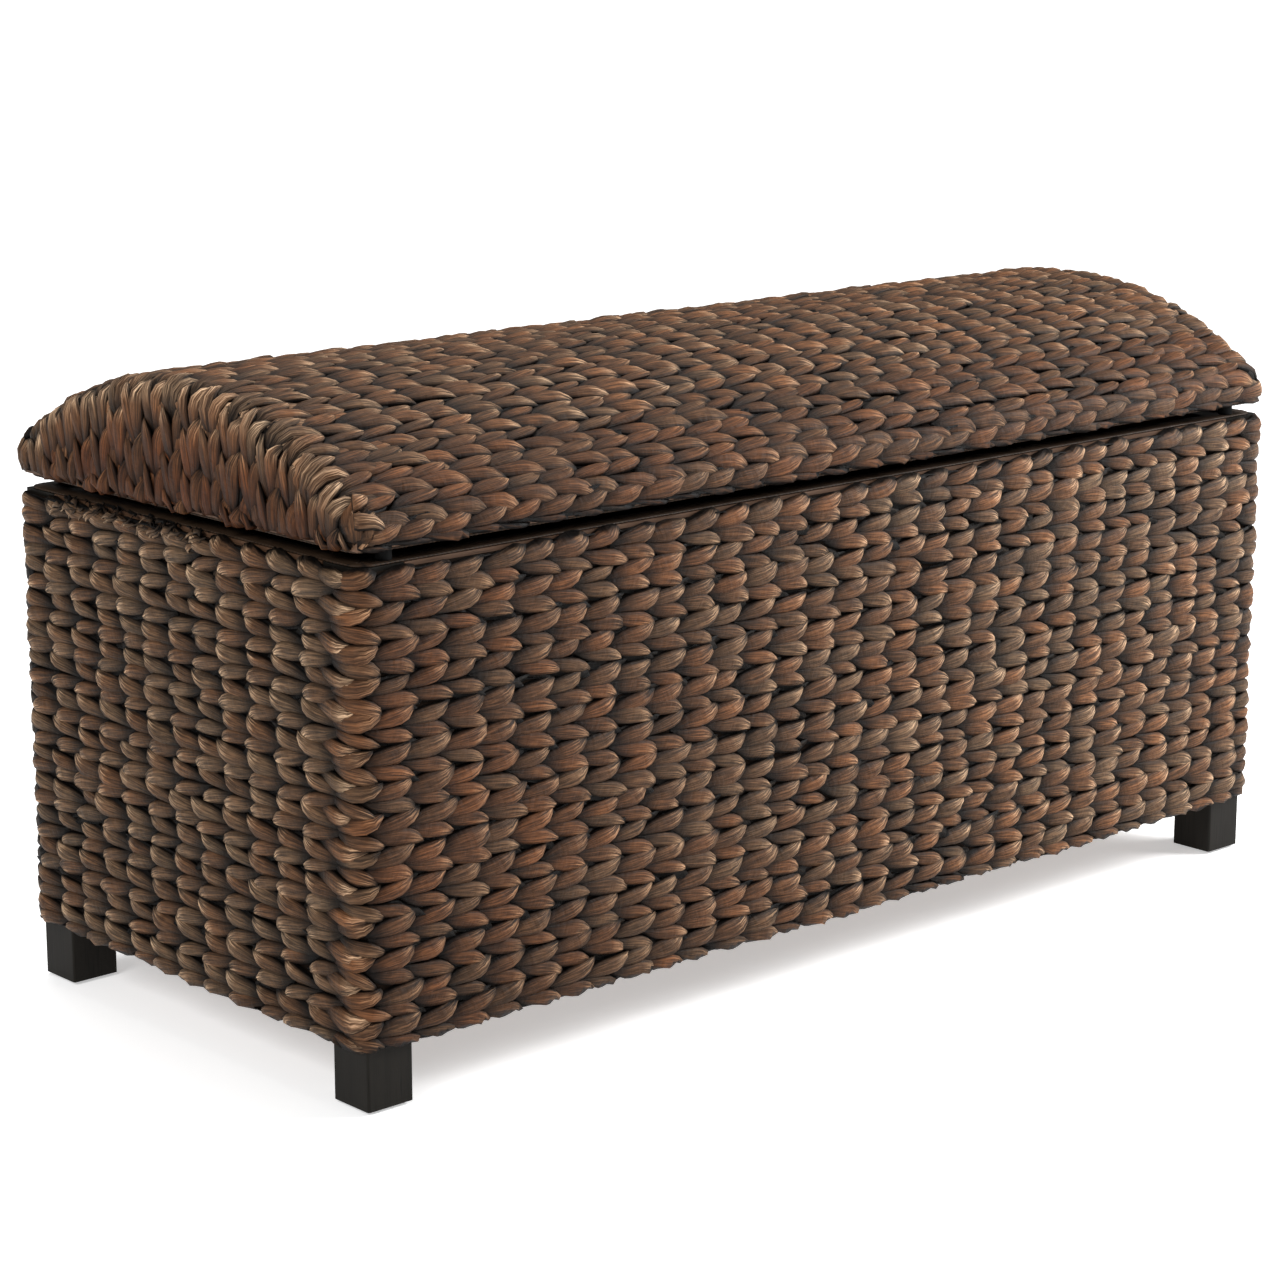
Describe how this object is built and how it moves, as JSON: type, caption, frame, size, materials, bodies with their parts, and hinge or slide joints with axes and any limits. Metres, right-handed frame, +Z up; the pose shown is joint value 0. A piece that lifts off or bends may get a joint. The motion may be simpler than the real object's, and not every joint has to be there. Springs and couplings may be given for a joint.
{
  "type": "storage trunk",
  "caption": "Rectangular storage trunk of flat braided fibre over a wooden frame, on square legs, with a low domed hinged lid and slotted lid stays.",
  "frame": {"origin": "middle of the trunk's footprint, on the surface it stands on", "axes": "+X to the right along the length, +Y from the front to the hinged back, +Z up"},
  "size_m": [1.02, 0.445, 0.5119],
  "materials": {
    "woven_fibre": "satin woven fibre",
    "wrapped_fibre": "satin wrapped fibre",
    "black_stained_wood": "satin black stain",
    "frame_wood": "brown stain",
    "plywood": "brown stain",
    "dowel_wood": "raw",
    "hardware_steel": "dark bronze",
    "glide_nylon": "matte",
    "bumper_rubber": "matte"
  },
  "bodies": {
    "trunk": {"floor_panel": "plywood", "floor_slat_1": "frame_wood", "floor_slat_2": "frame_wood", "floor_slat_3": "frame_wood", "floor_slat_4": "frame_wood", "floor_slat_5": "frame_wood", "foot_glides": "glide_nylon", "frame_dowels": "dowel_wood", "hinge_leaf_trunk_left": "hardware_steel", "hinge_leaf_trunk_right": "hardware_steel", "hinge_pins": "hardware_steel", "hinge_screws_trunk": "hardware_steel", "leg_back_left": "black_stained_wood", "leg_back_right": "black_stained_wood", "leg_front_left": "black_stained_wood", "leg_front_right": "black_stained_wood", "lower_rail_back": "frame_wood", "lower_rail_front": "frame_wood", "lower_rail_left": "frame_wood", "lower_rail_right": "frame_wood", "rim_binding": "wrapped_fibre", "rim_bumpers": "bumper_rubber", "stay_plate_left": "hardware_steel", "stay_plate_right": "hardware_steel", "stay_plate_screws": "hardware_steel", "stay_studs": "hardware_steel", "upper_rail_back": "frame_wood", "upper_rail_front": "frame_wood", "upper_rail_left": "frame_wood", "upper_rail_right": "frame_wood", "upright_back_left": "frame_wood", "upright_back_right": "frame_wood", "upright_front_left": "frame_wood", "upright_front_right": "frame_wood", "woven_walls": "woven_fibre"},
    "lid": {"lid_binding": "wrapped_fibre", "lid_dowels": "dowel_wood", "lid_end_rib_left": "frame_wood", "lid_end_rib_right": "frame_wood", "lid_lath_back": "frame_wood", "lid_lath_back_middle": "frame_wood", "lid_lath_front": "frame_wood", "lid_lath_front_middle": "frame_wood", "lid_lath_ridge": "frame_wood", "lid_rail_back": "frame_wood", "lid_rail_front": "frame_wood", "lid_rail_left": "frame_wood", "lid_rail_right": "frame_wood", "lid_rib_left": "frame_wood", "lid_rib_right": "frame_wood", "lid_weave": "woven_fibre", "hinge_leaf_lid_left": "hardware_steel", "hinge_leaf_lid_right": "hardware_steel", "hinge_screws_lid": "hardware_steel", "stay_bracket_left": "hardware_steel", "stay_bracket_right": "hardware_steel", "stay_bracket_screws": "hardware_steel", "stay_pivots": "hardware_steel"},
    "stay_left": {"stay_left": "hardware_steel"},
    "stay_right": {"stay_right": "hardware_steel"}
  },
  "joints": [
    {"name": "lid_hinge", "type": "hinge", "parent": "trunk", "child": "lid", "pos_m": [0, 0.219, 0.406], "axis": [-1, 0, 0], "range_deg": [0, 95]},
    {"name": "stay_left_pivot", "type": "hinge", "parent": "lid", "child": "stay_left", "pos_m": [-0.47435, 0.05964, 0.42275], "axis": [-1, 0, 0], "range_deg": [-48, 0.5]},
    {"name": "stay_right_pivot", "type": "hinge", "parent": "lid", "child": "stay_right", "pos_m": [0.47435, 0.05964, 0.42275], "axis": [-1, 0, 0], "range_deg": [-48, 0.5]}
  ],
  "couplings": [
    {"joint": "stay_left_pivot", "follows": "lid_hinge", "ratio": -0.5},
    {"joint": "stay_right_pivot", "follows": "lid_hinge", "ratio": -0.5}
  ]
}
